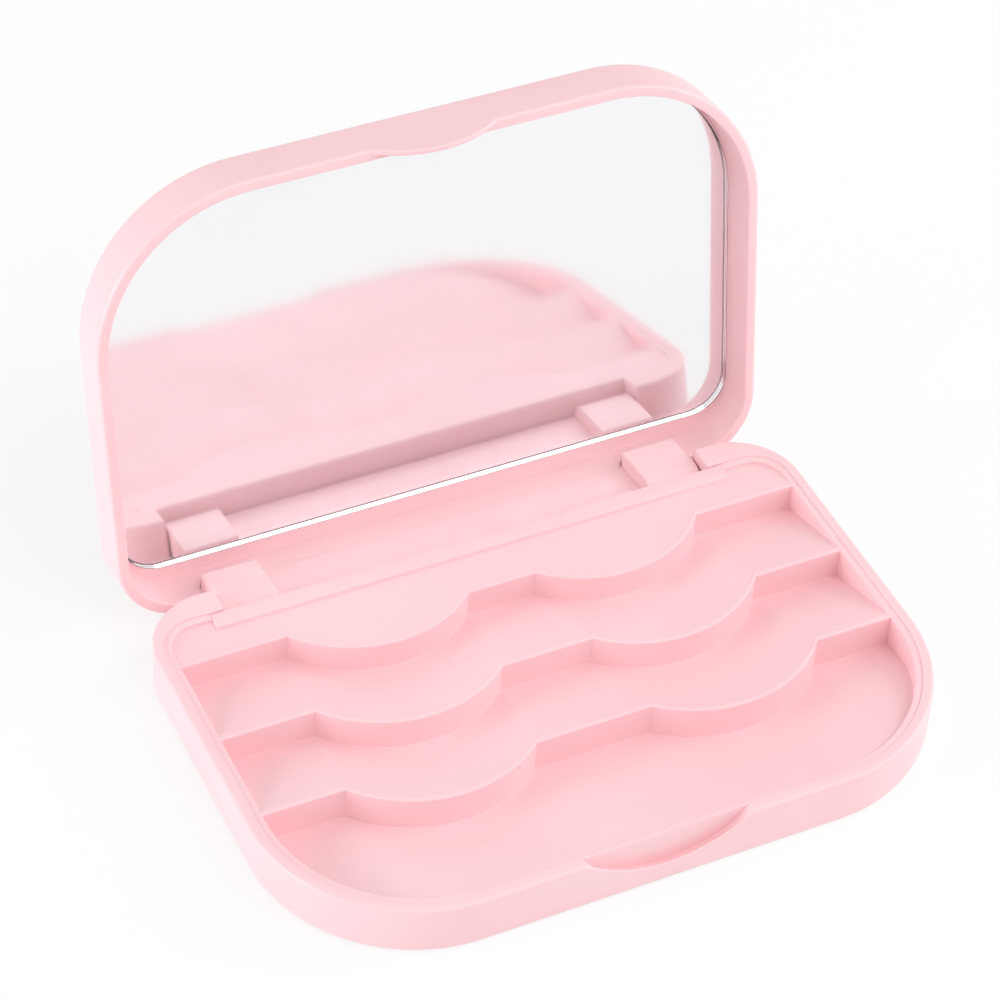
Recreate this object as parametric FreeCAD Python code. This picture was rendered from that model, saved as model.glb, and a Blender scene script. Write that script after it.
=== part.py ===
"""False eyelash case: a hinged two-shell compact with a wave tray and a mirror in the lid.

Frame: X along the hinge, Y towards the hinge side, Z up, origin under the middle of the base.
Every piece of the lid is drawn shut, then swung back about the hinge pins to the open stop.
"""
import FreeCAD, Part
import math
import os

# Whole case, shut
WIDTH = 115.0
DEPTH = 76.0
CLOSED_HEIGHT = 18.5
FRONT_CORNER = 27.0
REAR_CORNER = 11.5
OUTER_EDGE = 1.1
RIM_EDGE = 0.6
FIT_GAP = 0.3

# Base shell
BASE_HEIGHT = 9.4
BASE_WALL = 1.8
BASE_FLOOR = 1.4
POST_FRONT = 33.1
POST_CORNER = 6.0
RECESS_HALF = 43.5
RECESS_FLOOR = 1.0

# Thumb notch in the front wall, and the smaller tab of the lid that hangs over it
NOTCH_RADIUS = 21.4
NOTCH_LOW = 4.2
TAB_RADIUS = 16.5
TAB_LOW = 5.95
TAB_THICK = 1.0
TAB_EDGE = 0.5

# Wave tray
TRAY_GAP = 0.1
TRAY_WALL = 1.1
TRAY_TOP = 9.2
TRAY_SKIN = 1.2
WAVES = 3
WAVE_PITCH = 16.65
WAVE_THICK = 1.4
WAVE_FOOT = 4.1
WAVE_FOOT_DROPS = 0.48
LIP_STEP = 0.25
FIRST_WAVE = 25.1
SCALLOP_DEPTH = 7.7
SCALLOP_OUTER = 36.5
SCALLOP_OUTER_GROWS = 2.25
SCALLOP_INNER = 6.0
SCALLOP_INNER_GROWS = 2.0
MIDDLE_SET = 2.2
MIDDLE_SET_GROWS = 0.2
BAR_HALF = 46.0
BAR_FRONT = 29.8
SHELF_FOOT = 8.5

# Lid shell
RIM_GAP = 0.25
LID_WALL = 1.9
LID_REAR_WALL = 2.0
LID_PLATE = 1.2
FLAP_LOW = 1.8
FLAP_EDGE = 0.7
LUG_INNER = 33.3
LUG_TOP = 12.6
LUG_RADIUS = 3.1

# Mirror and its adhesive sheet
GLASS_THICK = 1.3
TAPE_THICK = 0.2
TAPE_INSET = 3.0
GLASS_MARGIN = 2.5
GLASS_REAR_MARGIN = 5.9
GLASS_REAR_CORNER = 6.8

# Hinge
AXIS_FROM_REAR = 1.6
AXIS_Y = DEPTH / 2 - AXIS_FROM_REAR
AXIS_Z = 4.5
OPEN_ANGLE = 99.2
PIN_RADIUS = 0.8
PIN_RUNNING_GAP = 0.05
PIN_LENGTH = 12.5
PIN_INNER_END = 34.0

FRONT = -DEPTH / 2
REAR = DEPTH / 2
SIDE = WIDTH / 2
LID_RIM = BASE_HEIGHT + RIM_GAP
LID_CEILING = CLOSED_HEIGHT - LID_PLATE
OVERLAP = 1.0


def point(x, y, z=0.0):
    return FreeCAD.Vector(x, y, z)


def line(a, b):
    return Part.LineSegment(a, b).toShape()


def arc(a, middle, b):
    return Part.Arc(a, middle, b).toShape()


def corner(cx, cy, radius, start, z):
    """Quarter circle that turns left from the angle start, in degrees."""
    angles = [math.radians(start + turn) for turn in (0, 45, 90)]
    return arc(*[point(cx + radius * math.cos(t), cy + radius * math.sin(t), z) for t in angles])


def rounded_face(half_width, front, rear, front_radius, rear_radius, z):
    """Flat rounded rectangle with its own front and rear corner radii."""
    x_front, x_rear = half_width - front_radius, half_width - rear_radius
    y_front, y_rear = front + front_radius, rear - rear_radius
    edges = [
        line(point(-x_front, front, z), point(x_front, front, z)),
        corner(x_front, y_front, front_radius, -90, z),
        line(point(half_width, y_front, z), point(half_width, y_rear, z)),
        corner(x_rear, y_rear, rear_radius, 0, z),
        line(point(x_rear, rear, z), point(-x_rear, rear, z)),
        corner(-x_rear, y_rear, rear_radius, 90, z),
        line(point(-half_width, y_rear, z), point(-half_width, y_front, z)),
        corner(-x_front, y_front, front_radius, 180, z),
    ]
    return Part.Face(Part.Wire(edges))


def case_outline(inset, z):
    return rounded_face(SIDE - inset, FRONT + inset, REAR - inset,
                        FRONT_CORNER - inset, REAR_CORNER - inset, z)


def raised(face, low_to_high):
    return face.extrude(point(0, 0, low_to_high))


def block(x0, x1, y0, y1, z0, z1):
    return Part.makeBox(x1 - x0, y1 - y0, z1 - z0, point(x0, y0, z0))


def rod(radius, x0, x1):
    """Round bar along the hinge axis."""
    return Part.makeCylinder(radius, x1 - x0, point(x0, AXIS_Y, AXIS_Z), point(1, 0, 0))


def edges_at(solid, z):
    """The edges of a solid that lie wholly at one height."""
    spans = [(e, e.BoundBox.ZMin, e.BoundBox.ZMax) for e in solid.Edges]
    return [e for e, low, high in spans if abs(low - z) < 1e-6 and abs(high - z) < 1e-6]


def front_disc(radius, low, y0, y1):
    """Disc across the front wall; its lower arc is the edge of the thumb notch or of the tab."""
    centre = point(0, y0, low + radius)
    return Part.makeCylinder(radius, y1 - y0, centre, point(0, 1, 0))


def pin_span(side):
    ends = (side * PIN_INNER_END, side * (PIN_INNER_END + PIN_LENGTH))
    return min(ends), max(ends)


def make_base_shell():
    shell = raised(case_outline(0.0, 0.0), BASE_HEIGHT)
    shell = shell.makeFillet(OUTER_EDGE, edges_at(shell, 0.0))
    shell = shell.makeFillet(RIM_EDGE, edges_at(shell, BASE_HEIGHT))
    cavity = rounded_face(SIDE - BASE_WALL, FRONT + BASE_WALL, POST_FRONT,
                          FRONT_CORNER - BASE_WALL, POST_CORNER, BASE_FLOOR)
    above = BASE_HEIGHT + OVERLAP
    cuts = [
        raised(cavity, BASE_HEIGHT),
        block(-RECESS_HALF, RECESS_HALF, POST_FRONT - OVERLAP, REAR + OVERLAP, BASE_FLOOR, above),
        block(-RECESS_HALF, RECESS_HALF, POST_FRONT, REAR + OVERLAP, RECESS_FLOOR, above),
        front_disc(NOTCH_RADIUS, NOTCH_LOW, FRONT - OVERLAP, FRONT + BASE_WALL + OVERLAP),
    ]
    cuts += [rod(PIN_RADIUS, *pin_span(side)) for side in (-1, 1)]
    return shell.cut(cuts).removeSplitter()


def wave_points(number, set_forward, z):
    """Corner and crest points of one wave from left to right, moved forward by set_forward."""
    outer_x = SCALLOP_OUTER + SCALLOP_OUTER_GROWS * number
    inner_x = SCALLOP_INNER + SCALLOP_INNER_GROWS * number
    outer_y = FIRST_WAVE - WAVE_PITCH * number - set_forward
    inner_y = outer_y - MIDDLE_SET - MIDDLE_SET_GROWS * number
    crest = point((outer_x + inner_x) / 2, outer_y - SCALLOP_DEPTH, z)
    right = [point(inner_x, inner_y, z), crest, point(outer_x, outer_y, z), point(SIDE, outer_y, z)]
    left = [point(-p.x, p.y, p.z) for p in reversed(right)]
    return left + right


def wave_edges(points):
    """Straight, scallop, straight, scallop, straight."""
    p = points
    return [line(p[0], p[1]), arc(p[1], p[2], p[3]), line(p[3], p[4]),
            arc(p[4], p[5], p[6]), line(p[6], p[7])]


def straight_points(number, y, z):
    """The points of a wave pulled flat onto one line across the tray."""
    return [point(p.x, y, z) for p in wave_points(number, 0.0, z)]


def straight_edges(points):
    ends = [points[k] for k in (0, 1, 3, 4, 6, 7)]
    return [line(a, b) for a, b in zip(ends, ends[1:])]


def band(rear_edges, front_edges):
    """Closed outline between two edge rows that both run from left to right."""
    rear_left, rear_right = rear_edges[0].Vertexes[0].Point, rear_edges[-1].Vertexes[-1].Point
    front_left, front_right = front_edges[0].Vertexes[0].Point, front_edges[-1].Vertexes[-1].Point
    sides = [line(rear_right, front_right), line(front_left, rear_left)]
    return Part.Wire(Part.__sortEdges__(rear_edges + front_edges + sides))


def tier_rows(tier):
    """Row makers of one tier: the foot line behind it, and the lip's back and front lines."""
    def behind(set_forward, z):
        if tier == 0:
            return straight_edges(straight_points(0, BAR_FRONT - set_forward, z))
        return wave_edges(wave_points(tier - 1, WAVE_THICK + set_forward, z))

    def lip(set_forward, z):
        if tier == WAVES:
            y = FRONT + BASE_WALL + TRAY_GAP + TRAY_WALL - set_forward
            return straight_edges(straight_points(WAVES - 1, y, z))
        return wave_edges(wave_points(tier, set_forward, z))

    return behind, lip


def foot_height(tier):
    """Height of the lowest line of a ramp; the rear shelf lies almost level with its lip."""
    if tier == 0:
        return SHELF_FOOT
    return WAVE_FOOT - WAVE_FOOT_DROPS * (tier - 1)


def make_tier(tier):
    """One ramp that climbs forwards from its foot to just under the lip of the next wave."""
    behind, lip = tier_rows(tier)
    foot = foot_height(tier)
    ramp_top = TRAY_TOP - LIP_STEP
    low = band(behind(0.0, foot), lip(WAVE_THICK, foot))
    high = band(lip(0.0, ramp_top), lip(WAVE_THICK, ramp_top))
    ramp = Part.makeLoft([low, high], True, True)
    lower = raised(Part.Face(low), BASE_FLOOR - foot)
    edge = raised(Part.Face(high), LIP_STEP)
    return ramp.fuse([lower, edge])


def make_tier_core(tier):
    """Hollow under one ramp, which leaves an even skin above it."""
    behind, lip = tier_rows(tier)
    foot = foot_height(tier) - TRAY_SKIN
    ramp_top = TRAY_TOP - LIP_STEP - TRAY_SKIN
    low = band(behind(TRAY_SKIN, foot), lip(0.0, foot))
    high = band(lip(-TRAY_SKIN, ramp_top), lip(0.0, ramp_top))
    core = Part.makeLoft([low, high], True, True)
    return core.fuse(raised(Part.Face(low), BASE_FLOOR - OVERLAP - foot))


def tray_outline(inset, z):
    edge = BASE_WALL + TRAY_GAP + inset
    return rounded_face(SIDE - edge, FRONT + edge, POST_FRONT - TRAY_GAP - inset,
                        FRONT_CORNER - edge, POST_CORNER - TRAY_GAP - inset, z)


def make_lash_tray():
    envelope = raised(tray_outline(0.0, BASE_FLOOR), TRAY_TOP - BASE_FLOOR)
    inside = raised(tray_outline(TRAY_WALL, BASE_FLOOR), TRAY_TOP)
    bar = block(-BAR_HALF, BAR_HALF, BAR_FRONT, POST_FRONT - TRAY_GAP, BASE_FLOOR, TRAY_TOP)
    shelf = block(-SIDE, SIDE, BAR_FRONT, POST_FRONT - TRAY_GAP, SHELF_FOOT - TRAY_SKIN, SHELF_FOOT)
    ring = envelope.cut(inside)
    tiers = [make_tier(tier) for tier in range(WAVES + 1)]
    filled = tiers[0].fuse(tiers[1:] + [shelf]).common(envelope)
    cores = [make_tier_core(tier) for tier in range(WAVES + 1)]
    hollow = raised(tray_outline(TRAY_WALL, BASE_FLOOR - OVERLAP), TRAY_TOP)
    cores = [core.common(hollow) for core in cores]
    return filled.cut(cores).fuse([ring, bar]).removeSplitter()


def make_lug(side):
    """Thick end of the hinge flap, rounded about the pin."""
    x0, x1 = sorted((side * LUG_INNER, side * (RECESS_HALF - FIT_GAP)))
    inner_face = AXIS_Y - LUG_RADIUS
    upright = block(x0, x1, inner_face, REAR, AXIS_Z, LUG_TOP)
    return upright.fuse(rod(LUG_RADIUS, x0, x1).common(block(x0, x1, 0, REAR, 0, LUG_TOP)))


def make_flap():
    """Rear wall of the lid carried down into the recess of the base."""
    half = RECESS_HALF - FIT_GAP
    flap = block(-half, half, REAR - LID_REAR_WALL, REAR, FLAP_LOW, LID_RIM + OVERLAP)
    long_edges = [e for e in edges_at(flap, FLAP_LOW) if e.BoundBox.XLength > half]
    return flap.makeFillet(FLAP_EDGE, long_edges)


def make_tab():
    """Thumb tab at the front of the lid that hangs over the notch of the base."""
    disc = front_disc(TAB_RADIUS, TAB_LOW, FRONT, FRONT + TAB_THICK)
    inner_edge = [e for e in disc.Edges if abs(e.BoundBox.YMin - FRONT - TAB_THICK) < 1e-6]
    disc = disc.makeFillet(TAB_EDGE, inner_edge)
    return disc.common(block(-SIDE, SIDE, FRONT, FRONT + TAB_THICK, 0, LID_RIM + OVERLAP))


def make_lid_shell():
    shell = raised(case_outline(0.0, LID_RIM), CLOSED_HEIGHT - LID_RIM)
    shell = shell.makeFillet(OUTER_EDGE, edges_at(shell, CLOSED_HEIGHT))
    shell = shell.makeFillet(RIM_EDGE, edges_at(shell, LID_RIM))
    cavity = rounded_face(SIDE - LID_WALL, FRONT + LID_WALL, REAR - LID_REAR_WALL,
                          FRONT_CORNER - LID_WALL, REAR_CORNER - LID_REAR_WALL, LID_RIM)
    shell = shell.cut(raised(cavity, LID_CEILING - LID_RIM))
    shell = shell.fuse([make_flap(), make_tab(), make_lug(-1), make_lug(1)])
    bores = [rod(PIN_RADIUS + PIN_RUNNING_GAP, *pin_span(side)) for side in (-1, 1)]
    bores += [rod(PIN_RADIUS + PIN_RUNNING_GAP, *sorted((side * LUG_INNER, side * PIN_INNER_END)))
              for side in (-1, 1)]
    return shell.cut(bores).removeSplitter()


def glass_outline(inset, z):
    edge = GLASS_MARGIN + inset
    return rounded_face(SIDE - edge, FRONT + edge, REAR - GLASS_REAR_MARGIN - inset,
                        FRONT_CORNER - edge, GLASS_REAR_CORNER - inset, z)


def make_mirror_glass():
    face = LID_CEILING - TAPE_THICK - GLASS_THICK
    return raised(glass_outline(0.0, face), GLASS_THICK)


def make_mirror_tape():
    return raised(glass_outline(TAPE_INSET, LID_CEILING - TAPE_THICK), TAPE_THICK)


def make_hinge_pin(side):
    return rod(PIN_RADIUS, *pin_span(side))


def swung_open(shape):
    shape = shape.copy()
    shape.rotate(point(0, AXIS_Y, AXIS_Z), point(1, 0, 0), -OPEN_ANGLE)
    return shape


def main():
    pieces = {
        "base_shell": make_base_shell(),
        "lash_tray": make_lash_tray(),
        "hinge_pin_left": make_hinge_pin(-1),
        "hinge_pin_right": make_hinge_pin(1),
        "lid_shell": swung_open(make_lid_shell()),
        "mirror_glass": swung_open(make_mirror_glass()),
        "mirror_tape": swung_open(make_mirror_tape()),
    }
    os.makedirs("parts", exist_ok=True)
    for name, shape in pieces.items():
        shape.exportStep("parts/%s.step" % name)
        box = shape.BoundBox
        print(name, "solids", len(shape.Solids), "valid", shape.isValid(), "volume", round(shape.Volume, 1),
              "box", [round(v, 2) for v in (box.XMin, box.YMin, box.ZMin, box.XMax, box.YMax, box.ZMax)])


main()
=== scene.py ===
# %% [markdown]
# # A false eyelash case in pale pink plastic
# The case is a pocket compact: a base with a wave tray for strip lashes, and a lid with a mirror.
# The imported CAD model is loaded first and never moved. Every new piece is worked out with numpy in
# millimetres in the same frame, then written to a mesh in metres, so nothing has to be fitted by eye.

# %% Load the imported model
import math

import bmesh
import bpy
import numpy as np
from mathutils import Matrix, Vector


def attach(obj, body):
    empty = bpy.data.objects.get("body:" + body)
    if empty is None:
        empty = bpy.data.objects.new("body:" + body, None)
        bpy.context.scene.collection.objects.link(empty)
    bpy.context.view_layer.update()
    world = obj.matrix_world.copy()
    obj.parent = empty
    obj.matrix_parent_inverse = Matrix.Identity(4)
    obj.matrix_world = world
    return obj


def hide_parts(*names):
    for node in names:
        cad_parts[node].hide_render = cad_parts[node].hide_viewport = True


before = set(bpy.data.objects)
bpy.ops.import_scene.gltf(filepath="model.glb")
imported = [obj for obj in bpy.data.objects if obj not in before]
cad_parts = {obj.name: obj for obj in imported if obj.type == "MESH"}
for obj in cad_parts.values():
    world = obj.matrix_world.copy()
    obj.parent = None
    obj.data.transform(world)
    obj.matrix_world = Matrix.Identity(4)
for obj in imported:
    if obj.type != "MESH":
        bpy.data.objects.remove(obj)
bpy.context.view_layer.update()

# %% [markdown]
# ## Turning arrays into meshes
# A moulding is a skin, so each piece here is a grid of points: one direction runs along a path and the
# other along a profile. Boxes with boolean cuts would also give the forms, but leave hard edges and
# stray triangles. A grid keeps every edge rounding as real geometry that catches the light.

# %% Grids, lofts and pieces
MM = 0.001
MERGE_M, DEGENERATE_M = 2e-6, 1e-6


def grid_faces(rows, columns, wrap_columns=True, wrap_rows=False):
    """Corners of every cell: a column and the next, then the same two one row on, turned outwards."""
    index = np.arange(rows * columns).reshape(rows, columns)
    if wrap_columns:
        index = np.concatenate([index, index[:, :1]], axis=1)
    if wrap_rows:
        index = np.concatenate([index, index[:1]], axis=0)
    cells = [index[:-1, :-1], index[:-1, 1:], index[1:, 1:], index[1:, :-1]]
    return np.stack(cells, axis=-1).reshape(-1, 4).tolist()


def closed_loft(rings):
    """Skin over a stack of closed rings, with a fan to the middle of the first and of the last ring."""
    rows, columns = rings.shape[:2]
    middles = np.stack([rings[0].mean(axis=0), rings[-1].mean(axis=0)])
    here = np.arange(columns)
    after = np.roll(here, -1)
    last = (rows - 1) * columns
    middle = np.full(columns, rows * columns)
    first_fan = np.stack([middle, after, here], axis=-1).tolist()
    last_fan = np.stack([last + here, last + after, middle + 1], axis=-1).tolist()
    points = np.concatenate([rings.reshape(-1, 3), middles])
    return points, grid_faces(rows, columns) + first_fan + last_fan


def join(*parts):
    """Several point and face lists as one, with the face numbers moved on past the points before them."""
    points = np.concatenate([part[0] for part in parts])
    starts = np.cumsum([0] + [len(part[0]) for part in parts[:-1]])
    faces = [[k + int(start) for k in face] for start, part in zip(starts, parts) for face in part[1]]
    return points, faces


def new_piece(name, shape, crease_deg=38.0):
    """One object from points in millimetres: doubled points merged, smooth but for real creases."""
    points, faces = shape
    mesh = bpy.data.meshes.new(name)
    mesh.from_pydata((points * MM).tolist(), [], faces)
    work = bmesh.new()
    work.from_mesh(mesh)
    bmesh.ops.remove_doubles(work, verts=work.verts, dist=MERGE_M)
    bmesh.ops.dissolve_degenerate(work, edges=work.edges, dist=DEGENERATE_M)
    work.to_mesh(mesh)
    work.free()
    mesh.shade_smooth()
    mesh.set_sharp_from_angle(angle=math.radians(crease_deg))
    piece = bpy.data.objects.new(name, mesh)
    bpy.context.scene.collection.objects.link(piece)
    size = np.ptp(points, axis=0)
    print(name, len(mesh.vertices), "points,", len(mesh.polygons), "faces, size in mm", size.round(2))
    return piece

# %% [markdown]
# ## The outline that everything follows
# Seen from above, the shells, the tray and the mirror are all one rounded rectangle at different
# insets, with large front corners and small rear ones. One function gives it as a closed path with the
# same number of points for every inset, so point k of one outline always faces point k of another.

# %% One rounded outline at any inset
CORNER_TURN = np.linspace(0.0, 90.0, 25)
FRONT_X = np.linspace(-30.5, 30.5, 123)[1:-1]
SIDE_STEPS, REAR_END_STEPS = 14, 3
HAIR = 1e-6


def corner(cx, cy, radius, start):
    """Quarter circle: centre plus radius times cosine and sine of an angle that grows from start."""
    turn = np.radians(start + CORNER_TURN)
    return np.column_stack([cx + radius * np.cos(turn), cy + radius * np.sin(turn)])


def run(a, b, count):
    """Points spread evenly between a and b, without the two ends."""
    t = np.linspace(0.0, 1.0, count + 2)[1:-1, None]
    return (1 - t) * np.array(a) + t * np.array(b)


def outline(half, front, rear, front_radius, rear_radius, rear_x):
    """Closed path to the left along the rear line at rear_x, then left side, front and right side."""
    x_front, x_rear = half - front_radius, half - rear_radius
    y_front, y_rear = front + front_radius, rear - rear_radius
    return np.concatenate([
        np.column_stack([rear_x, np.full(len(rear_x), rear)]),
        run((rear_x[-1], rear), (-x_rear, rear), REAR_END_STEPS),
        corner(-x_rear, y_rear, rear_radius, 90.0),
        run((-half, y_rear), (-half, y_front), SIDE_STEPS),
        corner(-x_front, y_front, front_radius, 180.0),
        np.column_stack([FRONT_X, np.full(len(FRONT_X), front)]),
        corner(x_front, y_front, front_radius, 270.0),
        run((half, y_front), (half, y_rear), SIDE_STEPS),
        corner(x_rear, y_rear, rear_radius, 0.0),
        run((x_rear, rear), (rear_x[0], rear), REAR_END_STEPS),
    ])


def quarter(steps):
    """Angles of a quarter turn as a column, so that they spread over all points of a path at once."""
    return np.radians(np.linspace(0.0, 90.0, steps))[:, None]


def eased(distance, radius):
    """How far a rounded end draws in, at a distance from the end: radius less the height of a circle."""
    short = np.clip(radius - distance, 0.0, radius)
    return radius - np.sqrt(radius ** 2 - short ** 2)


def sweep(outer, inner, depth, height):
    """Profile carried along the outline: depth goes from the outer path towards the inner, height up."""
    inward = inner - outer
    inward = inward / np.linalg.norm(inward, axis=1)[:, None]
    flat = outer[None] + inward[None] * depth[..., None]
    return np.concatenate([flat, height[..., None]], axis=-1)

# %% [markdown]
# ## The base moulding
# The base is a shallow dish. Its wall is one profile, under edge, outer face, rounded rim and inner
# face, carried once round the outline. The rim height changes on the way: it dips in an arc at the
# front for the thumb, and it stops at two posts at the rear, where the lid's hinge flap lies between.

# %% Base: the path and its rim height
HALF_WIDTH, FRONT, REAR = 57.5, -38.0, 38.0
FRONT_CORNER, REAR_CORNER = 27.0, 11.5
BASE_HEIGHT, BASE_WALL, BASE_FLOOR = 9.4, 1.8, 1.4
POST_FRONT, POST_CORNER = 33.1, 6.0
RECESS_HALF, RECESS_FLOOR, POST_ROUND = 43.5, 1.0, 0.4
NOTCH_RADIUS, NOTCH_LOW, NOTCH_BLEND = 21.4, 4.2, 5.0
NOTCH_GROOVE, NOTCH_EASE, NOTCH_ROUND = 1.1, 1.5, 0.15
CLOSED_HEIGHT = 18.5
END_STEPS = np.array([1.0, 0.6, 0.3, 0.1, 0.0])

post_x = RECESS_HALF + POST_ROUND * END_STEPS
recess_x = np.linspace(RECESS_HALF, -RECESS_HALF, 61)
base_rear_x = np.concatenate([post_x, recess_x, -post_x[::-1]])
base_outer = outline(HALF_WIDTH, FRONT, REAR, FRONT_CORNER, REAR_CORNER, base_rear_x)
base_inner = outline(HALF_WIDTH - BASE_WALL, FRONT + BASE_WALL, POST_FRONT,
                     FRONT_CORNER - BASE_WALL, POST_CORNER, base_rear_x)
wall = np.linalg.norm(base_inner - base_outer, axis=1)
in_recess = np.zeros(len(wall), bool)
in_recess[len(post_x):len(post_x) + len(recess_x)] = True
post_inset = np.zeros(len(wall))
post_inset[:len(base_rear_x)] = eased(np.abs(base_rear_x) - RECESS_HALF, POST_ROUND)
post_inset[in_recess] = 0.0


def arc_at_front(path, radius, low):
    """Height of a circle's lower arc over the front line, and a large height everywhere else."""
    x = np.where(path[:, 1] < FRONT + HAIR, path[:, 0], radius)
    arc = low + radius - np.sqrt(np.clip(radius ** 2 - x ** 2, 0.0, None))
    return np.where(np.abs(x) < radius, arc, 2 * CLOSED_HEIGHT)


notch = arc_at_front(base_outer, NOTCH_RADIUS, NOTCH_LOW)
rim = -np.logaddexp(-NOTCH_BLEND * BASE_HEIGHT, -NOTCH_BLEND * notch) / NOTCH_BLEND
in_notch = np.clip((BASE_HEIGHT - rim) / NOTCH_EASE, 0.0, 1.0)
rim_inside = rim - NOTCH_GROOVE * in_notch
print("rim height from", rim.min().round(2), "to", rim.max().round(2), "mm")

# %% Base: the profile, row by row
UNDER_ROUND, RIM_ROUND, INNER_ROUND, FLOOR_ROUND = 1.1, 0.6, 0.1, 0.4
rim_round = RIM_ROUND + (NOTCH_ROUND - RIM_ROUND) * in_notch
WALL_STEPS = np.linspace(0.0, 1.0, 6)[1:-1, None]
t = quarter(7)
flat_line = np.zeros_like(wall)
wall_rows = [
    (UNDER_ROUND * (1 - np.sin(t)) + flat_line, UNDER_ROUND * (1 - np.cos(t)) + flat_line),
    (WALL_STEPS * flat_line, UNDER_ROUND + WALL_STEPS * (rim - rim_round - UNDER_ROUND)),
    (rim_round * (1 - np.cos(t)), rim - rim_round * (1 - np.sin(t))),
    (wall - INNER_ROUND * (1 - np.sin(t)), rim_inside - INNER_ROUND * (1 - np.cos(t))),
]
depth = np.concatenate([row[0] for row in wall_rows])
height = np.concatenate([row[1] for row in wall_rows])
depth = np.clip(depth, post_inset, wall - post_inset)
height = np.minimum(height, np.where(in_recess, RECESS_FLOOR, BASE_HEIGHT - post_inset))
floor_depth = wall + FLOOR_ROUND * (1 - np.cos(t))
floor_height = np.where(in_recess, BASE_FLOOR, BASE_FLOOR + FLOOR_ROUND * (1 - np.sin(t)))
base_rings = np.concatenate([sweep(base_outer, base_inner, depth, height),
                             sweep(base_outer, base_inner, floor_depth, floor_height)])
base_moulding = new_piece("base_moulding", closed_loft(base_rings))

# %% [markdown]
# ## The lid moulding
# The lid is the same dish upside down and a little deeper. It is worked out shut and then swung back
# about the hinge, so the numbers stay easy to read. Its rim carries three extra forms: the thumb tab at
# the front that fills the notch, the hinge flap at the rear, and a thick rounded lug at each flap end.

# %% Lid: the path and what hangs from its rim
LID_RIM, LID_CEILING, LID_WALL, LID_REAR_WALL = 9.65, 17.3, 1.9, 2.0
FLAP_HALF, FLAP_LOW, FLAP_ROUND = 43.2, 1.8, 0.7
LUG_INNER, LUG_TOP, LUG_RADIUS, LUG_ROUND = 33.3, 12.6, 3.1, 0.4
AXIS_Y, AXIS_Z, OPEN_DEG = 36.4, 4.5, 99.2
TAB_RADIUS, TAB_LOW, TAB_THICK, TAB_ROUND = 16.5, 5.95, 1.0, 0.5
LID_INNER_ROUND, ROW_STEP = 0.25, 0.02
LUG_RUN_START, LUG_RUN_END = 42.0, 34.5
PLAIN, FLAP, LUG = 0, 1, 2

lug_x = np.concatenate([FLAP_HALF - LUG_ROUND * END_STEPS[::-1], np.linspace(LUG_RUN_START, LUG_RUN_END, 6),
                        LUG_INNER + LUG_ROUND * END_STEPS])
between_x = np.linspace(LUG_INNER, -LUG_INNER, 45)
lid_rear_x = np.concatenate([[FLAP_HALF], lug_x, between_x, -lug_x[::-1], [-FLAP_HALF]])
lug_kind = [LUG] * len(lug_x)
rear_kind = np.array([PLAIN] + lug_kind + [FLAP] * len(between_x) + lug_kind + [PLAIN])
lid_outer = outline(HALF_WIDTH, FRONT, REAR, FRONT_CORNER, REAR_CORNER, lid_rear_x)
lid_inner = outline(HALF_WIDTH - LID_WALL, FRONT + LID_WALL, REAR - LID_REAR_WALL,
                    FRONT_CORNER - LID_WALL, REAR_CORNER - LID_REAR_WALL, lid_rear_x)
lid_wall = np.linalg.norm(lid_inner - lid_outer, axis=1)
kind = np.full(len(lid_wall), PLAIN)
kind[:len(rear_kind)] = rear_kind
is_flap, is_lug = kind != PLAIN, kind == LUG
to_end = np.minimum(FLAP_HALF - np.abs(lid_outer[:, 0]), np.abs(lid_outer[:, 0]) - LUG_INNER)
lug_inset = np.where(is_lug, eased(to_end, LUG_ROUND), 0.0)
tab_low = np.minimum(arc_at_front(lid_outer, TAB_RADIUS, TAB_LOW), LID_RIM)
is_tab = tab_low < LID_RIM - ROW_STEP
print("flap columns", int(is_flap.sum()), "lug columns", int(is_lug.sum()), "tab columns", int(is_tab.sum()))

# %% [markdown]
# Each row of the lid's profile is written once for a plain wall, once for the flap, the lug and the
# tab, and numpy picks the right one for every point of the path. Where two kinds meet, two columns
# share one place, and the skin between them becomes the flat end of the flap or lug. A row that has
# no form of its own at some point is kept a hair away from the next, so that no face falls to nothing.

# %% Lid: the profile from the ceiling to the rim
CEILING_ROUND, PLATE_ROUND, TAB_OUTER_ROUND = 0.12, 1.1, 0.25
lug_depth = np.where(is_lug, REAR - AXIS_Y + LUG_RADIUS - lug_inset, lid_wall)
lug_top = LUG_TOP - lug_inset
down = np.linspace(0.0, 1.0, 6)[:, None]
lid_rows = [
    (lid_wall + CEILING_ROUND * (1 - np.sin(t)),
     LID_CEILING - CEILING_ROUND * (1 - np.cos(t)) + 0 * lid_wall),
    (lid_wall + 0 * t[:1], lug_top + 0 * t[:1]),
    (lug_depth - np.where(is_lug, LUG_ROUND, 0.0) * (1 - np.sin(t)),
     lug_top - LUG_ROUND * (1 - np.cos(t))),
]
step_depth = lid_wall - LID_INNER_ROUND * (1 - np.cos(t))
step_height = LID_RIM + LID_INNER_ROUND * (1 - np.sin(t))
wall_foot = np.where(is_lug, AXIS_Z, FLAP_LOW + FLAP_ROUND)
face_height = lug_top - LUG_ROUND + down * (wall_foot - lug_top + LUG_ROUND)
lid_rows.append((np.where(is_flap, lug_depth + 0 * t, step_depth),
                 np.where(is_flap, face_height[:1] - ROW_STEP * t, step_height)))
print("rows so far", sum(len(row[0]) for row in lid_rows))

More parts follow.
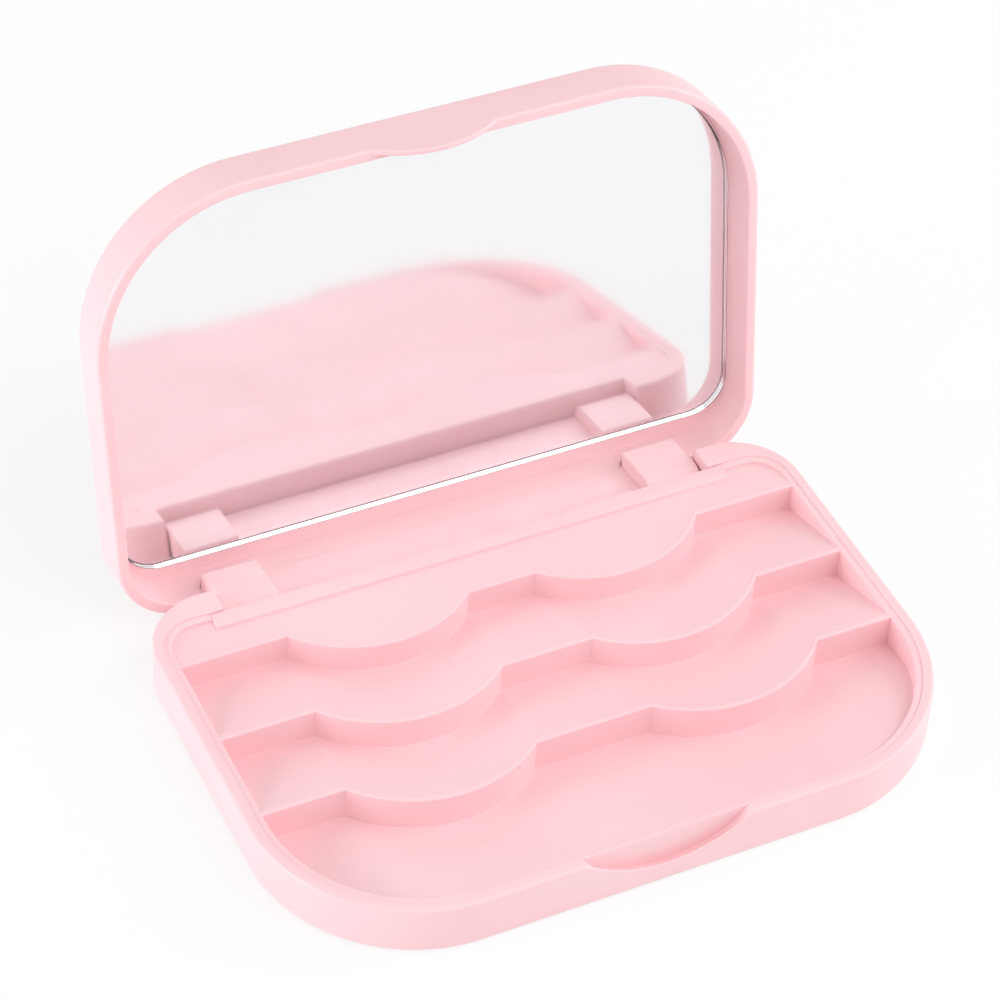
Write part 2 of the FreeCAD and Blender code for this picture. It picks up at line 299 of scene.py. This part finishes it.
# %% Lid: the lower end of flap, lug, tab and rim
ROW_SPREAD = 10 * ROW_STEP
tab_round = np.minimum(TAB_ROUND, 0.5 * (LID_RIM - tab_low))
outer_round = np.where(is_flap, FLAP_ROUND, np.where(is_tab, TAB_OUTER_ROUND, RIM_ROUND))
flat_depth = TAB_THICK + ROW_SPREAD * (1 - down)
inner_face = np.where(is_flap, lug_depth, np.where(is_tab, TAB_THICK, flat_depth))
tab_face = LID_RIM + down * (tab_low + tab_round - LID_RIM)
inner_height = np.where(is_flap, face_height, np.where(is_tab, tab_face, LID_RIM))
pin_depth = REAR - AXIS_Y
lug_swing = t * (90.0 + math.degrees(math.asin(pin_depth / LUG_RADIUS))) / 90.0
pin_round = LUG_RADIUS - lug_inset
tab_under = np.where(is_tab, TAB_THICK - tab_round * (1 - np.cos(t)), TAB_THICK - ROW_STEP * t)
under_depth = np.where(is_lug, pin_depth + pin_round * np.cos(lug_swing),
                       np.where(is_flap, lid_wall - FLAP_ROUND * (1 - np.cos(t)), tab_under))
under_height = np.where(is_lug, AXIS_Z - pin_round * np.sin(lug_swing),
                        np.where(is_flap, FLAP_LOW + FLAP_ROUND * (1 - np.sin(t)),
                                 np.where(is_tab, tab_low + tab_round * (1 - np.sin(t)), LID_RIM)))
outer_low = np.where(is_flap, FLAP_LOW, np.minimum(tab_low, LID_RIM))
outer_height = outer_low + outer_round * (1 - np.cos(t))
lug_foot = AXIS_Z - math.sqrt(LUG_RADIUS ** 2 - pin_depth ** 2)
outer_depth = np.where(is_lug, 0.0, outer_round * (1 - np.sin(t)))
outer_height = np.where(is_lug, lug_foot + ROW_SPREAD * t, outer_height)
lid_rows += [(inner_face, inner_height), (under_depth, under_height), (outer_depth, outer_height)]

# %% Lid: outer wall and plate, then the swing to the open stop
wall_low = outer_height[-1]
lid_rows += [
    (WALL_STEPS * 0 * lid_wall, wall_low + WALL_STEPS * (CLOSED_HEIGHT - PLATE_ROUND - wall_low)),
    (PLATE_ROUND * (1 - np.cos(t)) + 0 * lid_wall,
     CLOSED_HEIGHT - PLATE_ROUND * (1 - np.sin(t)) + 0 * lid_wall),
]


def swung_open(points):
    """Rotation about the hinge pins: offsets from the axis times the cosine and sine of the open angle."""
    swing = math.radians(-OPEN_DEG)
    y, z = points[:, 1] - AXIS_Y, points[:, 2] - AXIS_Z
    return np.column_stack([points[:, 0], AXIS_Y + y * math.cos(swing) - z * math.sin(swing),
                            AXIS_Z + y * math.sin(swing) + z * math.cos(swing)])


lid_depth = np.concatenate([row[0] for row in lid_rows])
lid_height = np.concatenate([row[1] for row in lid_rows])
lid_points, lid_faces = closed_loft(sweep(lid_outer, lid_inner, lid_depth, lid_height))
lid_moulding = new_piece("lid_moulding", (swung_open(lid_points), lid_faces))

# %% [markdown]
# ## The wave tray
# The tray is a second moulding dropped into the base. It has a rear shelf and three waves, each a thin
# lip with a steep face, and a floor behind that climbs to it, so a lash lies against the scallop. The
# whole top is one sheet: one parameter runs across the tray, the other over shelf, lip, face and floor.

# %% Tray: the wave lines
WAVES, WAVE_PITCH, FIRST_WAVE = 3, 16.65, 25.1
SCALLOP_DEPTH, SCALLOP_OUTER, SCALLOP_INNER, MIDDLE_SET = 7.7, 36.5, 6.0, 2.2
OUTER_GROWS, INNER_GROWS, MIDDLE_GROWS = 2.25, 2.0, 0.2
TRAY_EDGE = 54.7


def wave_columns(number):
    """Positions across the tray, right to left, with points at both ends of each scallop."""
    outer = SCALLOP_OUTER + OUTER_GROWS * number
    inner = SCALLOP_INNER + INNER_GROWS * number
    right = np.concatenate([np.linspace(TRAY_EDGE, outer, 17)[:-1], np.linspace(outer, inner, 61)[:-1],
                            np.linspace(inner, 0.0, 9)])
    return np.concatenate([right, -right[-2::-1]])


def wave_line(number, x):
    """Back edge of a lip: straight, a circle's arc through three points, straight, and so mirrored."""
    outer_x = SCALLOP_OUTER + OUTER_GROWS * number
    inner_x = SCALLOP_INNER + INNER_GROWS * number
    outer_y = FIRST_WAVE - WAVE_PITCH * number
    inner_y = outer_y - MIDDLE_SET - MIDDLE_GROWS * number
    crest = np.array([(outer_x + inner_x) / 2, outer_y - SCALLOP_DEPTH])
    chords = np.array([[outer_x, outer_y], [inner_x, inner_y]]) - crest
    centre = crest + np.linalg.solve(2 * chords, (chords ** 2).sum(axis=1))
    radius = np.linalg.norm(crest - centre)
    across = np.clip(np.abs(x), inner_x, outer_x) - centre[0]
    arc = centre[1] - np.sqrt(radius ** 2 - across ** 2)
    return np.where(np.abs(x) >= outer_x, outer_y, np.where(np.abs(x) <= inner_x, inner_y, arc))


for number in range(WAVES):
    line = wave_line(number, wave_columns(number))
    print("wave", number + 1, "runs from y", line.max().round(2), "to", line.min().round(2), "mm")

# %% Tray: lips, faces and climbing floors
TRAY_TOP, LIP_THICK, LIP_FLAT, LIP_STEP, LIP_ROUND, FOOT_ROUND = 9.2, 1.4, 0.8, 0.1, 0.25, 0.03
WAVE_FOOT, FOOT_DROPS, SHELF_FOOT, BAR_FRONT = 4.1, 0.48, 8.5, 29.8
TRAY_FRONT, TRAY_REAR, TRAY_LOW = -35.0, 32.4, 1.45
SHEET_INSET, REAR_INSET = 2.45, 0.65
climb = np.linspace(0.0, 1.0, 13)[:, None]


def rows(x, y, z):
    """Three arrays spread to one shape and stacked as points."""
    return np.stack(np.broadcast_arrays(x, y, z), axis=-1)


def lip_rows(number, foot):
    """Over one lip: a small rounded step, the flat top, a rounded front edge, the face and its foot."""
    x = wave_columns(number)
    front = wave_line(number, x) - LIP_THICK
    back = front + LIP_FLAT
    low = TRAY_TOP - LIP_STEP
    face = np.linspace(0.0, 1.0, 5)[1:-1, None]
    top_of_face = TRAY_TOP - LIP_ROUND
    return np.concatenate([
        rows(x, back - LIP_STEP * (1 - np.cos(t)), low + LIP_STEP * np.sin(t)),
        rows(x, front + LIP_ROUND * (1 - np.sin(t)), TRAY_TOP - LIP_ROUND * (1 - np.cos(t))),
        rows(x, front + 0 * face, top_of_face + face * (foot + FOOT_ROUND - top_of_face)),
        rows(x, front - FOOT_ROUND * (1 - np.cos(t)), foot + FOOT_ROUND * (1 - np.sin(t))),
    ])


def floor_rows(start, end):
    """Straight climb from one row of points to the next, without the two rows themselves."""
    inner = climb[1:-1, :, None]
    return start[None] * (1 - inner) + end[None] * inner


def front_limit(x):
    """Front end of the sheet, inside the tray's own rim: a straight line and the two corner arcs."""
    radius = FRONT_CORNER - SHEET_INSET
    over = np.clip(np.abs(x) - (HALF_WIDTH - FRONT_CORNER), 0.0, radius - ROW_STEP)
    return FRONT + FRONT_CORNER - np.sqrt(radius ** 2 - over ** 2)

# %% Tray: the whole sheet as one closed block
first_x = wave_columns(0)
shelf = np.concatenate([rows(first_x, np.array([[TRAY_REAR]]), SHELF_FOOT),
                        rows(first_x, np.array([[BAR_FRONT]]), SHELF_FOOT)])
bands = [shelf]
for number in range(WAVES):
    lip = lip_rows(number, WAVE_FOOT - FOOT_DROPS * number)
    bands += [floor_rows(bands[-1][-1], lip[0]), lip]
last = bands[-1][-1]
ramp_end = rows(last[:, 0], np.full((1, len(last)), TRAY_FRONT), TRAY_TOP - LIP_STEP)[0]
far = np.clip((last[:, 1] - front_limit(last[:, 0])) / (last[:, 1] - TRAY_FRONT), 0.0, None)
ramp_stop = last + (ramp_end - last) * far[:, None]
bands += [floor_rows(last, ramp_stop), ramp_stop[None]]
sheet = np.concatenate(bands)
rear_radius = POST_CORNER - REAR_INSET
past = np.clip(sheet[..., 1] - (POST_FRONT - POST_CORNER), 0.0, rear_radius - ROW_STEP)
reach = HALF_WIDTH - BASE_WALL - POST_CORNER + np.sqrt(rear_radius ** 2 - past ** 2)
sheet[..., 0] = np.clip(sheet[..., 0], -reach, reach)
under = sheet[::-1].copy()
under[..., 2] = TRAY_LOW
block = np.concatenate([sheet, under])
row_count, column_count = block.shape[:2]
index = np.arange(row_count * column_count).reshape(row_count, column_count)
upper, lower = index[:len(sheet)], index[::-1][:len(sheet)]
right_side = np.stack([upper[:-1, 0], upper[1:, 0], lower[1:, 0], lower[:-1, 0]], axis=-1)
left_side = np.stack([lower[:-1, -1], lower[1:, -1], upper[1:, -1], upper[:-1, -1]], axis=-1)
steps = (block.reshape(-1, 3), grid_faces(row_count, column_count, False, True)
         + right_side.tolist() + left_side.tolist())
print("tray sheet of", len(sheet), "by", column_count, "points")

# %% [markdown]
# The tray has a thin rim of its own that stands against the base wall, and a low bar along the rear that
# stops the hinge flap. Both are separate closed forms in the same mesh: the rim is a profile carried
# round the outline, and the bar a rounded section carried along the tray with its ends drawn in.

# %% Tray: rim and rear bar
TRAY_GAP, TRAY_RIM, OUTER_EDGE_ROUND, INNER_EDGE_ROUND = -0.01, 1.2, 0.06, 0.3
BAR_HALF, BAR_REAR, BAR_LOW, BAR_ROUND, BAR_COVER = 46.0, 33.0, 6.0, 0.35, 0.5
PLAIN_REAR, BAR_MARGIN = 43.9, 0.01
plain_rear_x = np.linspace(PLAIN_REAR, -PLAIN_REAR, 41)
tray_inset = BASE_WALL + TRAY_GAP


def tray_path(inset):
    """Outline of the tray at an inset from its own outer wall."""
    edge = tray_inset + inset
    return outline(HALF_WIDTH - edge, FRONT + edge, POST_FRONT - TRAY_GAP - inset,
                   FRONT_CORNER - edge, POST_CORNER - TRAY_GAP - inset, plain_rear_x)


rim_outer, rim_inner = tray_path(0.0), tray_path(TRAY_RIM)
under_bar = (rim_outer[:, 1] > BAR_REAR - BAR_MARGIN) & (np.abs(rim_outer[:, 0]) < BAR_HALF)
rim_top = np.where(under_bar, TRAY_TOP - BAR_COVER, TRAY_TOP)
all_round = np.zeros((1, len(rim_top)))
rim_depth = np.concatenate([all_round, all_round + OUTER_EDGE_ROUND * (1 - np.cos(t)),
                            all_round + TRAY_RIM - INNER_EDGE_ROUND * (1 - np.sin(t)), all_round + TRAY_RIM])
rim_height = np.concatenate([all_round + TRAY_LOW, rim_top - OUTER_EDGE_ROUND * (1 - np.sin(t)),
                             rim_top - INNER_EDGE_ROUND * (1 - np.cos(t)), all_round + TRAY_LOW])
rim_rings = sweep(rim_outer, rim_inner, rim_depth, rim_height)
tray_rim = (rim_rings.reshape(-1, 3), grid_faces(len(rim_rings), len(rim_outer), True, True))


def rounded_bar(half, front, rear, low, high, radius):
    """Rounded rectangle in the Y and Z plane carried along X; near both ends it draws in by a circle."""
    ends = half - radius * END_STEPS[::-1]
    stations = np.concatenate([-ends, np.linspace(-half, half, 25)[1:-1], ends[::-1]])
    draw = eased(half - np.abs(stations), radius)[:, None]
    turn = np.radians(np.linspace(0.0, 90.0, 7))
    turn = np.concatenate([turn, turn + np.pi / 2, turn + np.pi, turn + 1.5 * np.pi])
    y = (front + rear) / 2 + np.sign(np.cos(turn + HAIR)) * ((rear - front) / 2 - radius)
    z = (low + high) / 2 + np.sign(np.sin(turn + HAIR)) * ((high - low) / 2 - radius)
    ring_y = y + (radius - draw) * np.cos(turn)
    ring_z = z + (radius - draw) * np.sin(turn)
    return closed_loft(rows(stations[:, None], ring_y, ring_z))


bar = rounded_bar(BAR_HALF, BAR_FRONT, BAR_REAR, BAR_LOW, TRAY_TOP, BAR_ROUND)
tray_moulding = new_piece("tray_moulding", join(steps, tray_rim, bar))

# %% [markdown]
# ## The mirror
# A real mirror is a pane of clear glass with silver on its back. Seen at a slant, the edge of the pane
# shows as a bright line along the bottom, because light that enters near the edge turns back inside the
# glass. One metal face would never show that line, so pane and silver are two pieces. The glass is
# ground along the rim of its face. A dark hairline of shade runs on both sides of the bright line, once
# direct and once in the silver. That shade is painted: the outermost ring of the face gets a nearly black
# material of its own.
#
# The mirror also fills the tray with light. Clear glass hides the lamps from a scattered ray, so the
# pane is left out for scattered rays and shadows: they reach the silver, and the silver finds the lamps.

# %% Pane and silver
GLASS_HALF, GLASS_FRONT, GLASS_REAR = 55.0, -35.5, 32.1
GLASS_FRONT_CORNER, GLASS_REAR_CORNER = 24.5, 6.8
GLASS_FACE, GLASS_BACK, ARRIS = 15.8, 17.06, 0.05
SILVER_INSET, SILVER_FRONT, SILVER_BACK = 0.02, 17.065, 17.095
GLASS_LEAN, GLASS_CREASE = 0.4, 20.0
# The first width below is that of the ring on the pane's face which carries a painted shade line.
SHADE_RING_WIDTH, LOOKS_AHEAD = 0.15, -0.9


def glass_path(inset):
    """Outline of the mirror at an inset from its edge."""
    return outline(GLASS_HALF - inset, GLASS_FRONT + inset, GLASS_REAR - inset,
                   GLASS_FRONT_CORNER - inset, GLASS_REAR_CORNER - inset, plain_rear_x)


def plate(insets, heights):
    """Stack of mirror outlines, each with its own inset and height, closed at both ends and swung open."""
    rings = [np.column_stack([glass_path(inset), np.full(len(glass_path(inset)), high)])
             for inset, high in zip(insets, heights)]
    points, faces = closed_loft(np.stack(rings))
    points[:, 2] -= (points[:, 1] - GLASS_FRONT) * math.tan(math.radians(GLASS_LEAN))
    return swung_open(points), faces


pane_insets = [SHADE_RING_WIDTH, ARRIS, 0.0, 0.0, ARRIS]
pane_heights = [GLASS_FACE, GLASS_FACE, GLASS_FACE + ARRIS, GLASS_BACK - ARRIS, GLASS_BACK]
mirror_pane = new_piece("mirror_pane", plate(pane_insets, pane_heights), GLASS_CREASE)
# The front-facing cells of that ring take the painted shade material.
shade_ring_cells = [cell.index for cell in mirror_pane.data.polygons
             if len(cell.vertices) == 4 and cell.normal.y < LOOKS_AHEAD]
silver_heights = [SILVER_FRONT, SILVER_BACK]
mirror_silver = new_piece("mirror_silver", plate([SILVER_INSET] * 2, silver_heights), GLASS_CREASE)
mirror_pane.visible_diffuse = False
mirror_pane.visible_shadow = False

# %% [markdown]
# ## Pieces on their bodies
# Each new piece says which moving body carries it and which CAD solid it stands for. The hinge pins and
# the adhesive sheet keep their CAD shapes, a plain wire and a plain film, and only get finishes below.

# %% Ride and replace
for piece, body, node, slot in (
        (base_moulding, "base", "base_shell", "base_plastic"),
        (tray_moulding, "base", "lash_tray", "tray_plastic"),
        (lid_moulding, "lid", "lid_shell", "lid_plastic"),
        (mirror_pane, "lid", "mirror_glass", "mirror"),
        (mirror_silver, "lid", "mirror_glass", "mirror")):
    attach(piece, body)
    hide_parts(node)
    print(piece.name, "rides on", body, "and stands for", node)

# %% [markdown]
# ## A moulded skin for all three plastics
# Injection moulded plastic is never quite even: the colour drifts slowly where the melt ran, the gloss
# changes a little, and the skin has a very fine grain. All three mouldings share this, so it is one
# node group with named sockets. It gives out colour, roughness and height, and the shader stays outside.

# %% Node helpers
def add_node(tree, kind, **settings):
    node = tree.nodes.new(kind)
    for key, value in settings.items():
        setattr(node, key, value)
    return node


def noise(tree, vector, scale, detail, roughness=0.5):
    node = add_node(tree, "ShaderNodeTexNoise")
    tree.links.new(vector, node.inputs["Vector"])
    node.inputs["Scale"].default_value = scale
    node.inputs["Detail"].default_value = detail
    node.inputs["Roughness"].default_value = roughness
    return node.outputs["Fac"]


def spread(tree, value, low, high, to_low, to_high):
    """Straight-line change of range, held at both ends."""
    node = add_node(tree, "ShaderNodeMapRange")
    tree.links.new(value, node.inputs["Value"])
    for name, number in zip(("From Min", "From Max", "To Min", "To Max"), (low, high, to_low, to_high)):
        node.inputs[name].default_value = number
    return node.outputs["Result"]


def math_node(tree, operation, a, b):
    node = add_node(tree, "ShaderNodeMath", operation=operation)
    for socket, value in zip(node.inputs, (a, b)):
        if isinstance(value, (int, float)):
            socket.default_value = value
        else:
            tree.links.new(value, socket)
    return node.outputs[0]

# %% The moulded skin group
def new_group(name, inputs, outputs):
    group = bpy.data.node_groups.new(name, "ShaderNodeTree")
    for label, kind, value in inputs:
        socket = group.interface.new_socket(label, in_out="INPUT", socket_type=kind)
        socket.default_value = value
    for label, kind in outputs:
        group.interface.new_socket(label, in_out="OUTPUT", socket_type=kind)
    return group, group.nodes.new("NodeGroupInput"), group.nodes.new("NodeGroupOutput")


skin, skin_in, skin_out = new_group(
    "moulded_skin",
    [("Colour", "NodeSocketColor", (1, 1, 1, 1)), ("Deep Colour", "NodeSocketColor", (1, 1, 1, 1)),
     ("Gloss Low", "NodeSocketFloat", 0.3), ("Gloss High", "NodeSocketFloat", 0.45)],
    [("Colour", "NodeSocketColor"), ("Roughness", "NodeSocketFloat"), ("Height", "NodeSocketFloat")])
FLOW_SCALE, PATCH_SCALE, GRAIN_SCALE, GRAIN_SHARE = 38.0, 210.0, 2600.0, 0.35
place = add_node(skin, "ShaderNodeTexCoord").outputs["Object"]
flow = spread(skin, noise(skin, place, FLOW_SCALE, 1.0), 0.35, 0.65, 0.0, 1.0)
blend = add_node(skin, "ShaderNodeMix", data_type="RGBA")
skin.links.new(flow, blend.inputs["Factor"])
skin.links.new(skin_in.outputs["Colour"], blend.inputs["A"])
skin.links.new(skin_in.outputs["Deep Colour"], blend.inputs["B"])
skin.links.new(blend.outputs["Result"], skin_out.inputs["Colour"])
patch = spread(skin, noise(skin, place, PATCH_SCALE, 1.0), 0.3, 0.7, 0.0, 1.0)
gloss = add_node(skin, "ShaderNodeMix", data_type="FLOAT")
skin.links.new(patch, gloss.inputs["Factor"])
skin.links.new(skin_in.outputs["Gloss Low"], gloss.inputs["A"])
skin.links.new(skin_in.outputs["Gloss High"], gloss.inputs["B"])
skin.links.new(gloss.outputs["Result"], skin_out.inputs["Roughness"])
grain = noise(skin, place, GRAIN_SCALE, 0.0)
relief = math_node(skin, "ADD", math_node(skin, "MULTIPLY", grain, GRAIN_SHARE), patch)
skin.links.new(relief, skin_out.inputs["Height"])
print("group", skin.name, "with", len(skin.nodes), "nodes")

# %% [markdown]
# ## Finishes
# The three mouldings are the same pastel pink, and only the tray's gloss is a little lower. The darker
# pink of faces and corners is not painted: it comes from light that goes from pink to pink. The bump is
# a few thousandths of a millimetre, enough to break up a reflection and far too small to see as a shape.

# %% Pink mouldings
def plain_material(name):
    material = bpy.data.materials.new(name)
    material.use_nodes = True
    return material, material.node_tree, material.node_tree.nodes["Principled BSDF"]


PINK, PINK_DEEP = (0.955, 0.640, 0.672), (0.945, 0.612, 0.646)
BUMP_MM, PLASTIC_IOR = 0.004, 1.49


def pink_moulding(name, gloss_low, gloss_high):
    """Principled material in the case's pink, with colour, gloss and bump from the skin group."""
    material, tree, shader = plain_material(name)
    group = add_node(tree, "ShaderNodeGroup", node_tree=skin)
    group.inputs["Colour"].default_value = (*PINK, 1.0)
    group.inputs["Deep Colour"].default_value = (*PINK_DEEP, 1.0)
    group.inputs["Gloss Low"].default_value = gloss_low
    group.inputs["Gloss High"].default_value = gloss_high
    bump = add_node(tree, "ShaderNodeBump")
    bump.inputs["Distance"].default_value = BUMP_MM * MM
    tree.links.new(group.outputs["Height"], bump.inputs["Height"])
    tree.links.new(bump.outputs["Normal"], shader.inputs["Normal"])
    tree.links.new(group.outputs["Colour"], shader.inputs["Base Color"])
    tree.links.new(group.outputs["Roughness"], shader.inputs["Roughness"])
    shader.inputs["IOR"].default_value = PLASTIC_IOR
    return material


shell_pink = pink_moulding("shell_pink", 0.30, 0.42)
tray_pink = pink_moulding("tray_pink", 0.34, 0.46)
base_moulding.data.materials.append(shell_pink)
lid_moulding.data.materials.append(shell_pink)
tray_moulding.data.materials.append(tray_pink)

# %% [markdown]
# The silver is a near perfect mirror, but in use it carries a thin haze that blurs what is far from the
# glass and leaves what is near it sharp. A slightly rough metal does just that, and the small part of it
# that is not metal scatters light as dust does. The pane is clear glass, with faint smears in its gloss
# only, so its transmission stays a plain number. The outermost ring of the pane's face is a nearly black,
# rough finish: painted shade for the dark hairline along the edge of the glass.

# %% Silver and glass
def textured_material(name, low_colour, high_colour, rough_low, rough_high, scale, stretch=(1, 1, 1)):
    """Principled material whose colour and gloss both follow one noise on Object coordinates."""
    material, tree, shader = plain_material(name)
    place = add_node(tree, "ShaderNodeTexCoord").outputs["Object"]
    mapping = add_node(tree, "ShaderNodeMapping")
    mapping.inputs["Scale"].default_value = stretch
    tree.links.new(place, mapping.inputs["Vector"])
    pattern = spread(tree, noise(tree, mapping.outputs["Vector"], scale, 3.0), 0.3, 0.7, 0.0, 1.0)
    blend = add_node(tree, "ShaderNodeMix", data_type="RGBA")
    tree.links.new(pattern, blend.inputs["Factor"])
    blend.inputs["A"].default_value = (*low_colour, 1.0)
    blend.inputs["B"].default_value = (*high_colour, 1.0)
    tree.links.new(blend.outputs["Result"], shader.inputs["Base Color"])
    tree.links.new(spread(tree, pattern, 0.0, 1.0, rough_low, rough_high), shader.inputs["Roughness"])
    return material, tree, shader, pattern


SILVER_SHARE, GLASS_IOR = 0.93, 1.5
silver, _, shader, _ = textured_material("silver", (0.93, 0.93, 0.945), (0.94, 0.94, 0.955),
                                         0.075, 0.09, 60.0)
shader.inputs["Metallic"].default_value = SILVER_SHARE
mirror_silver.data.materials.append(silver)

pane_glass, _, shader, _ = textured_material("pane_glass", (0.99, 0.99, 0.99), (1.0, 1.0, 1.0),
                                             0.0, 0.015, 45.0)
shader.inputs["Transmission Weight"].default_value = 1.0
shader.inputs["IOR"].default_value = GLASS_IOR
mirror_pane.data.materials.append(pane_glass)

# Painted shade: a nearly black, rough material for the outermost ring of the pane's face.
painted_edge_shade, _, _, _ = textured_material("painted_edge_shade", (0.12, 0.10, 0.09), (0.22, 0.20, 0.19), 0.4, 0.6, 900.0)
mirror_pane.data.materials.append(painted_edge_shade)
for number in shade_ring_cells:
    mirror_pane.data.polygons[number].material_index = 1
print("ground rim of", len(shade_ring_cells), "cells")

# %% Adhesive sheet and hinge wire
FOAM_MM = 0.03
adhesive, tree, shader, pattern = textured_material("adhesive_sheet", (0.84, 0.83, 0.80), (0.91, 0.90, 0.88),
                                                    0.75, 0.9, 700.0)
bump = add_node(tree, "ShaderNodeBump")
bump.inputs["Distance"].default_value = FOAM_MM * MM
tree.links.new(pattern, bump.inputs["Height"])
tree.links.new(bump.outputs["Normal"], shader.inputs["Normal"])
wire, _, shader, _ = textured_material("drawn_wire", (0.50, 0.50, 0.52), (0.66, 0.66, 0.68),
                                       0.22, 0.38, 2500.0, (0.03, 1.0, 1.0))
shader.inputs["Metallic"].default_value = 1.0
for node, finish in (("mirror_tape", adhesive), ("hinge_pin_left", wire), ("hinge_pin_right", wire)):
    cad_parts[node].material_slots[0].material = finish
    print(node, "has", finish.name)

# %% [markdown]
# ## Camera
# The photograph looks down on the case from its left front with a long lens. The angles were solved from
# the outlines of both shells, so the camera is built from an azimuth, an elevation and a small roll.

# %% Camera from three angles, a target and a distance
AZIMUTH, ELEVATION, ROLL = -27.7141, 43.3413, 3.61956
TARGET, DISTANCE, LENS = Vector((0.0051737, 0.0339472, 0.01482)), 0.5710666, 126.1576
a, e, r = (math.radians(angle) for angle in (AZIMUTH, ELEVATION, ROLL))
back = Vector((math.sin(a) * math.cos(e), -math.cos(a) * math.cos(e), math.sin(e)))
level = (-back).cross(Vector((0, 0, 1))).normalized()
upright = level.cross(-back)
right = math.cos(r) * level + math.sin(r) * upright
top = -math.sin(r) * level + math.cos(r) * upright
camera = bpy.data.objects.new("camera", bpy.data.cameras.new("camera"))
bpy.context.scene.collection.objects.link(camera)
axes = Matrix((right, top, back)).transposed().to_4x4()
camera.matrix_world = Matrix.Translation(TARGET + back * DISTANCE) @ axes
camera.data.lens = LENS
camera.data.sensor_width = 36.0
camera.data.clip_start, camera.data.clip_end = 0.01, 20.0
bpy.context.scene.camera = camera

# %% [markdown]
# ## Floor, world and lamps
# The case stands on a white sweep in a soft white room. For the camera and for reflections the floor
# and the world are mostly plain white of strength one, and only part of the floor takes shadow, as in
# a bright product picture. A large lamp stands high at the front, and a low one on each side lights the
# upright walls. Their levels were matched one lamp at a time, so that the pink renders about as written.

# %% White floor that keeps the shadow
FLOOR_DROP, FLOOR_SIZE, FLOOR_GLOW, FLOOR_WHITE = 0.0001, 3.0, 0.74, 0.95
SQUARE = ((-1, -1), (1, -1), (1, 1), (-1, 1))
floor_mesh = bpy.data.meshes.new("floor")
floor_mesh.from_pydata([(x * FLOOR_SIZE, y * FLOOR_SIZE, -FLOOR_DROP) for x, y in SQUARE], [], [(0, 1, 2, 3)])
floor = bpy.data.objects.new("floor", floor_mesh)
bpy.context.scene.collection.objects.link(floor)


def seen_directly(tree):
    """One for camera, mirror and glass rays, nought for the rays that carry light to the object."""
    rays = add_node(tree, "ShaderNodeLightPath")
    seen = math_node(tree, "MAXIMUM", rays.outputs["Is Camera Ray"], rays.outputs["Is Glossy Ray"])
    return math_node(tree, "MAXIMUM", seen, rays.outputs["Is Transmission Ray"])


white_floor, tree, shader = plain_material("white_floor")
place = add_node(tree, "ShaderNodeTexCoord").outputs["Object"]
tree.links.new(spread(tree, noise(tree, place, 9.0, 2.0), 0.0, 1.0, 0.82, 0.92), shader.inputs["Roughness"])
shader.inputs["Base Color"].default_value = (FLOOR_WHITE, FLOOR_WHITE, FLOOR_WHITE, 1.0)
shader.inputs["Specular IOR Level"].default_value = 0.1
glow = add_node(tree, "ShaderNodeEmission")
mixed = add_node(tree, "ShaderNodeMixShader")
tree.links.new(math_node(tree, "MULTIPLY", seen_directly(tree), FLOOR_GLOW), mixed.inputs["Fac"])
tree.links.new(shader.outputs["BSDF"], mixed.inputs[1])
tree.links.new(glow.outputs["Emission"], mixed.inputs[2])
tree.links.new(mixed.outputs["Shader"], tree.nodes["Material Output"].inputs["Surface"])
floor_mesh.materials.append(white_floor)

# %% World and lamps
ROOM = 0.53
world = bpy.data.worlds.new("studio")
bpy.context.scene.world = world
world.use_nodes = True
sky = world.node_tree.nodes["Background"]
sky.inputs["Color"].default_value = (1.0, 1.0, 1.0, 1.0)
world.node_tree.links.new(spread(world.node_tree, seen_directly(world.node_tree), 0.0, 1.0, ROOM, 1.0),
                          sky.inputs["Strength"])


def soft_lamp(name, azimuth, elevation, distance, size, watts):
    """Square area lamp that looks at the case from an azimuth and an elevation."""
    a, e = math.radians(azimuth), math.radians(elevation)
    away = Vector((math.sin(a) * math.cos(e), -math.cos(a) * math.cos(e), math.sin(e)))
    lamp = bpy.data.objects.new(name, bpy.data.lights.new(name, "AREA"))
    bpy.context.scene.collection.objects.link(lamp)
    lamp.data.size = size
    lamp.data.energy = watts
    facing = away.to_track_quat("Z", "Y").to_matrix().to_4x4()
    lamp.matrix_world = Matrix.Translation(TARGET + away * distance) @ facing


# Azimuth and elevation in degrees, distance and size in metres, power in watts
LAMPS = {"key_lamp": (20.0, 55.0, 1.2, 0.8, 4.2),
         "left_lamp": (-93.0, 10.0, 0.9, 0.6, 5.8),
         "right_lamp": (75.0, 28.0, 0.9, 0.7, 3.8)}
for name, settings in LAMPS.items():
    soft_lamp(name, *settings)
print("lamps", ", ".join(LAMPS))
bpy.context.scene.view_settings.view_transform = "Standard"
